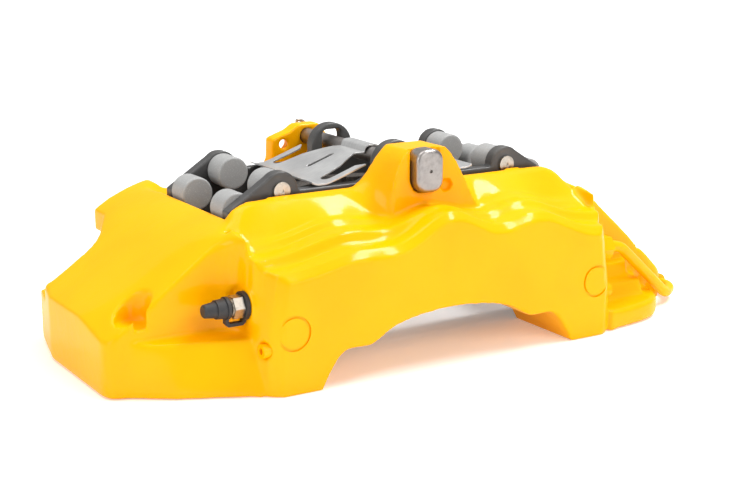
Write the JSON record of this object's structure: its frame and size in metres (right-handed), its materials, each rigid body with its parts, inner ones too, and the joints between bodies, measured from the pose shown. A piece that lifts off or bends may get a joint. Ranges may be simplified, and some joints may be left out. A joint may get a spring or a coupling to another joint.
{
  "type": "brake caliper",
  "caption": "Fixed opposed-piston disc brake caliper with yellow one-piece casting, spring-held pads on a retaining pin, bleed screws and external crossover pipe.",
  "frame": {"origin": "disc mid-plane, half way along the caliper, level with the mounting face", "axes": "+X along the caliper from the bleed screws to the crossover pipe, +Y along the wheel axle from the wheel side to the car side, +Z away from the axle"},
  "size_m": [0.3482, 0.169, 0.1045],
  "materials": {
    "casting": "gloss yellow powder coat",
    "pipe_paint": "gloss yellow powder coat",
    "sleeve_rubber": "painted over in yellow",
    "piston": "hard anodised",
    "seal_rubber": "matte",
    "cap_rubber": "matte",
    "pad_plate": "black satin coat",
    "friction_lining": "ground friction material",
    "shim": "dark coated",
    "counterweight": "matte grey",
    "spring_steel": "satin",
    "pin_steel": "satin with a bright turned face",
    "bright_steel": "bright zinc",
    "plug_steel": "painted over in yellow"
  },
  "bodies": {
    "caliper": {"caliper_body": "casting", "outer_seal_left": "seal_rubber", "outer_dust_ring_left": "seal_rubber", "outer_seal_middle": "seal_rubber", "outer_dust_ring_middle": "seal_rubber", "outer_seal_right": "seal_rubber", "outer_dust_ring_right": "seal_rubber", "outer_bleed_cap": "cap_rubber", "outer_flare_nut": "pipe_paint", "outer_abutment_plate_left": "spring_steel", "outer_abutment_plate_right": "spring_steel", "inner_seal_left": "seal_rubber", "inner_dust_ring_left": "seal_rubber", "inner_seal_middle": "seal_rubber", "inner_dust_ring_middle": "seal_rubber", "inner_seal_right": "seal_rubber", "inner_dust_ring_right": "seal_rubber", "inner_bleed_cap": "cap_rubber", "inner_flare_nut": "pipe_paint", "inner_abutment_plate_left": "spring_steel", "inner_abutment_plate_right": "spring_steel", "retaining_pin": "pin_steel", "pin_clip": "bright_steel", "pad_spring": "spring_steel", "crossover_pipe": "pipe_paint", "pipe_sleeve": "sleeve_rubber", "gallery_plugs": "plug_steel"},
    "outer_pad": {"outer_pad_plate": "pad_plate", "outer_pad_lining": "friction_lining", "outer_pad_shim": "shim", "outer_pad_weights": "counterweight", "outer_pad_rivets": "bright_steel"},
    "outer_piston_left": {"outer_piston_left": "piston"},
    "outer_piston_middle": {"outer_piston_middle": "piston"},
    "outer_piston_right": {"outer_piston_right": "piston"},
    "outer_bleed_screw": {"outer_bleed_screw": "bright_steel"},
    "inner_pad": {"inner_pad_plate": "pad_plate", "inner_pad_lining": "friction_lining", "inner_pad_shim": "shim", "inner_pad_weights": "counterweight", "inner_pad_rivets": "bright_steel"},
    "inner_piston_left": {"inner_piston_left": "piston"},
    "inner_piston_middle": {"inner_piston_middle": "piston"},
    "inner_piston_right": {"inner_piston_right": "piston"},
    "inner_bleed_screw": {"inner_bleed_screw": "bright_steel"}
  },
  "joints": [
    {"name": "outer_pad_slide", "type": "slide", "parent": "caliper", "child": "outer_pad", "axis": [0, 1, 0], "range_m": [0, 0.0095]},
    {"name": "outer_piston_left_slide", "type": "slide", "parent": "caliper", "child": "outer_piston_left", "axis": [0, 1, 0], "range_m": [0, 0.0095]},
    {"name": "outer_piston_middle_slide", "type": "slide", "parent": "caliper", "child": "outer_piston_middle", "axis": [0, 1, 0], "range_m": [0, 0.0095]},
    {"name": "outer_piston_right_slide", "type": "slide", "parent": "caliper", "child": "outer_piston_right", "axis": [0, 1, 0], "range_m": [0, 0.0095]},
    {"name": "inner_pad_slide", "type": "slide", "parent": "caliper", "child": "inner_pad", "axis": [0, -1, 0], "range_m": [0, 0.0095]},
    {"name": "inner_piston_left_slide", "type": "slide", "parent": "caliper", "child": "inner_piston_left", "axis": [0, -1, 0], "range_m": [0, 0.0095]},
    {"name": "inner_piston_middle_slide", "type": "slide", "parent": "caliper", "child": "inner_piston_middle", "axis": [0, -1, 0], "range_m": [0, 0.0095]},
    {"name": "inner_piston_right_slide", "type": "slide", "parent": "caliper", "child": "inner_piston_right", "axis": [0, -1, 0], "range_m": [0, 0.0095]},
    {"name": "outer_bleed_turn", "type": "hinge", "parent": "caliper", "child": "outer_bleed_screw", "pos_m": [-0.104, -0.0674, 0.041], "axis": [-1, 0, 0], "range_deg": [0, 270]},
    {"name": "inner_bleed_turn", "type": "hinge", "parent": "caliper", "child": "inner_bleed_screw", "pos_m": [-0.104, 0.0674, 0.041], "axis": [-1, 0, 0], "range_deg": [0, 270]}
  ],
  "couplings": [
    {"joint": "outer_piston_left_slide", "follows": "outer_pad_slide", "ratio": 1},
    {"joint": "outer_piston_middle_slide", "follows": "outer_pad_slide", "ratio": 1},
    {"joint": "outer_piston_right_slide", "follows": "outer_pad_slide", "ratio": 1},
    {"joint": "inner_piston_left_slide", "follows": "inner_pad_slide", "ratio": 1},
    {"joint": "inner_piston_middle_slide", "follows": "inner_pad_slide", "ratio": 1},
    {"joint": "inner_piston_right_slide", "follows": "inner_pad_slide", "ratio": 1}
  ]
}
